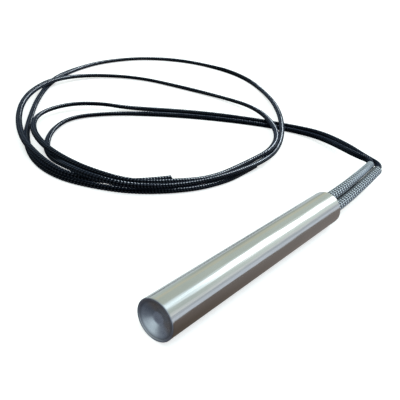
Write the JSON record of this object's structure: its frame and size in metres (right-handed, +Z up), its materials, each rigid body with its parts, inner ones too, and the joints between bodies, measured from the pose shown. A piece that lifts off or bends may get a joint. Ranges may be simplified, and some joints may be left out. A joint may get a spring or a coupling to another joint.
{
  "type": "tubular cartridge heater",
  "caption": "Round rod heater with a dished closed end; braided leads leave the other end through grey sleeves and lie in a loose coil beside it.",
  "frame": {"origin": "on the surface the heater lies on, under the middle of the sheath", "axes": "+X along the sheath from its closed end to its lead end, +Y to the side where the leads lie, +Z up"},
  "size_m": [0.272, 0.2392, 0.016],
  "materials": {
    "sheath": "ground and polished",
    "end_disc": "turned, welded in",
    "ceramic": "fired ceramic, matte",
    "powder": "compacted powder",
    "ribbon": "drawn ribbon",
    "nickel": "drawn nickel",
    "cement": "cast cement, matte",
    "sleeve": "braided glass fibre",
    "lead": "varnished braid, glossy"
  },
  "bodies": {
    "root": {"sheath": "sheath", "end_disc": "end_disc", "end_spacer": "ceramic", "core_1": "ceramic", "core_2": "ceramic", "core_3": "ceramic", "core_4": "ceramic", "core_5": "ceramic", "winding": "ribbon", "pin_long": "nickel", "pin_short": "nickel", "powder_fill": "powder", "crimp_near": "nickel", "crimp_far": "nickel", "conductor_near": "nickel", "conductor_far": "nickel", "end_bushing": "ceramic", "end_seal": "cement", "sleeve_near": "sleeve", "sleeve_far": "sleeve", "lead_near": "lead", "lead_far": "lead"}
  },
  "joints": []
}
